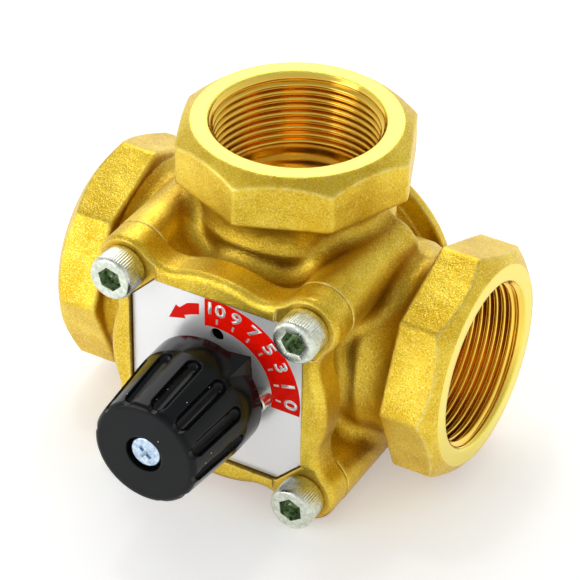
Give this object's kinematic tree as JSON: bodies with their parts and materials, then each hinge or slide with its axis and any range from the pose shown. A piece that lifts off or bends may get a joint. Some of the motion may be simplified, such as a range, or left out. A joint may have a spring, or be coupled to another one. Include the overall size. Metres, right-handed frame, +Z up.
{
  "type": "three-way rotary mixing valve",
  "caption": "Rotary mixing valve in cast brass: threaded ports in octagonal collars on a tee body, a bolted front cover, a square scale plate and a fluted black knob.",
  "frame": {"origin": "middle of the bounding box, on the surface that the valve stands on", "axes": "+Z up along the top port, +X along the right port, -Y towards the knob"},
  "size_m": [0.12, 0.1136, 0.0967],
  "materials": {
    "cast_brass": "blasted casting",
    "machined_brass": "turned",
    "zinc_steel": "zinc plated",
    "stem_steel": "turned",
    "plate_metal": "satin with printed scale",
    "seal_rubber": "moulded",
    "white_polymer": "turned",
    "black_plastic": "moulded"
  },
  "bodies": {
    "valve": {"valve_body": "cast_brass", "front_cover": "cast_brass", "cover_ring_seal": "seal_rubber", "scale_plate": "plate_metal", "locating_pin": "zinc_steel", "stem_bush": "white_polymer", "rear_bush": "white_polymer", "thrust_washer": "white_polymer", "cap_screw_top_left": "zinc_steel", "cap_screw_top_right": "zinc_steel", "cap_screw_bottom_left": "zinc_steel", "cap_screw_bottom_right": "zinc_steel"},
    "spindle": {"rotor": "machined_brass", "stem": "stem_steel", "drive_pin": "stem_steel", "stem_ring_seal_inner": "seal_rubber", "stem_ring_seal_outer": "seal_rubber", "stem_circlip": "stem_steel", "knob": "black_plastic", "knob_screw": "zinc_steel"}
  },
  "joints": [
    {"name": "knob_turn", "type": "hinge", "parent": "valve", "child": "spindle", "pos_m": [0, 0.02295, 0.03675], "axis": [0, -1, 0], "range_deg": [-50, 40]}
  ]
}
